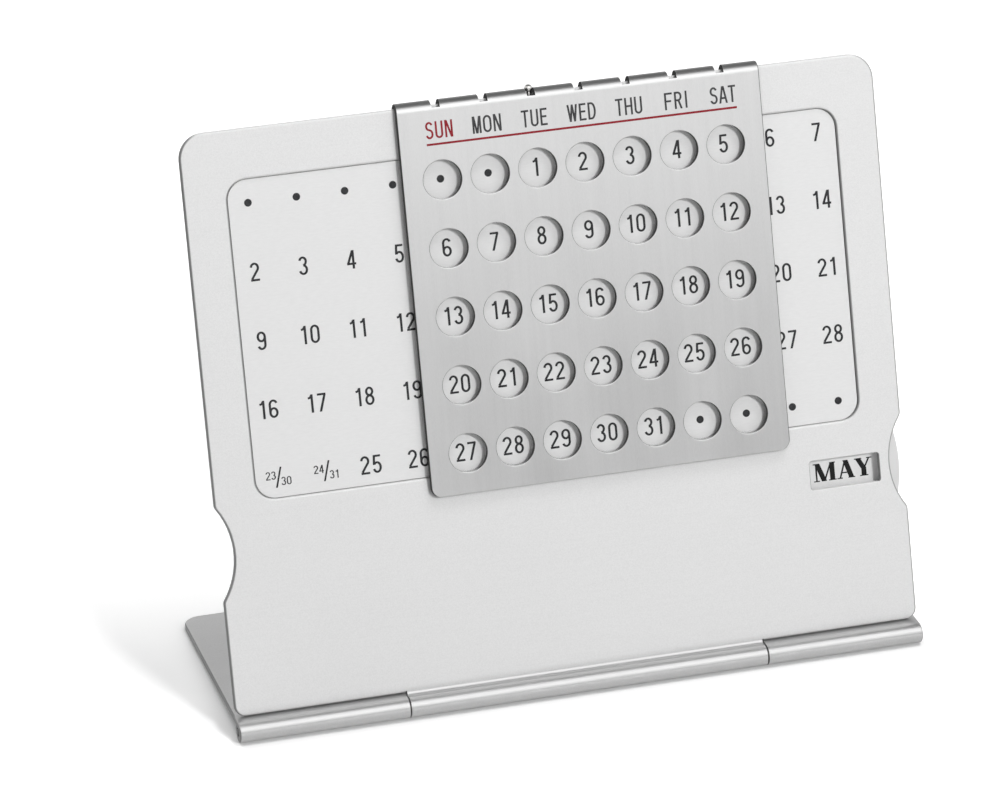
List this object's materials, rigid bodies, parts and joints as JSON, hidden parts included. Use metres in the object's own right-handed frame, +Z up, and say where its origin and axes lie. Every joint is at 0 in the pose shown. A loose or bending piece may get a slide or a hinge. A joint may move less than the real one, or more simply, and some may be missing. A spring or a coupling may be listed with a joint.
{
  "type": "perpetual desk calendar",
  "caption": "Leaning metal desk calendar with a sliding window plate over a number grid, a month disc behind a small window and a hinged base plate.",
  "frame": {"origin": "middle of the footprint at table level, with the calendar standing open at its stop", "axes": "+X along the hinge to the viewer's right, +Y to the rear, +Z up; the panel leans back towards +Y"},
  "size_m": [0.14, 0.0498, 0.1133],
  "materials": {
    "satin_aluminium": "fine bead-blasted and clear anodised, satin",
    "brushed_slider": "fine brushed, clear anodised, satin",
    "printed_plate": "satin silver with dark printed numbers",
    "disc_face": "satin silver with black printed month names",
    "bright_steel": "ground and lightly polished",
    "spring_steel": "plain spring steel, satin",
    "nylon": "natural nylon, matte"
  },
  "bodies": {
    "base": {"base_plate": "satin_aluminium", "hinge_pin": "bright_steel"},
    "panel": {"front_panel": "satin_aluminium", "number_plate": "printed_plate", "pivot_stud": "bright_steel", "spacer_washer": "nylon", "wave_washer": "spring_steel", "push_retainer": "spring_steel", "click_spring": "spring_steel"},
    "slider": {"date_slider": "brushed_slider"},
    "month": {"month_disc": "disc_face"},
    "click": {"click_pin": "bright_steel"}
  },
  "joints": [
    {"name": "panel_fold", "type": "hinge", "parent": "base", "child": "panel", "pos_m": [0, -0.02288, 0.00205], "axis": [1, 0, 0], "range_deg": [0, 285.6]},
    {"name": "date_slide", "type": "slide", "parent": "panel", "child": "slider", "axis": [1, 0, 0], "range_m": [-0.03828, 0.01914]},
    {"name": "month_turn", "type": "hinge", "parent": "panel", "child": "month", "pos_m": [0.0423, -0.00812, 0.03312], "axis": [0, -0.9444, 0.3289], "continuous": true},
    {"name": "click_press", "type": "slide", "parent": "panel", "child": "click", "axis": [0, 0.3289, 0.9444], "range_m": [-0.00175, 0], "stiffness_N_per_m": 200, "springref_m": 0.001, "deforming": ["click_spring"]}
  ]
}
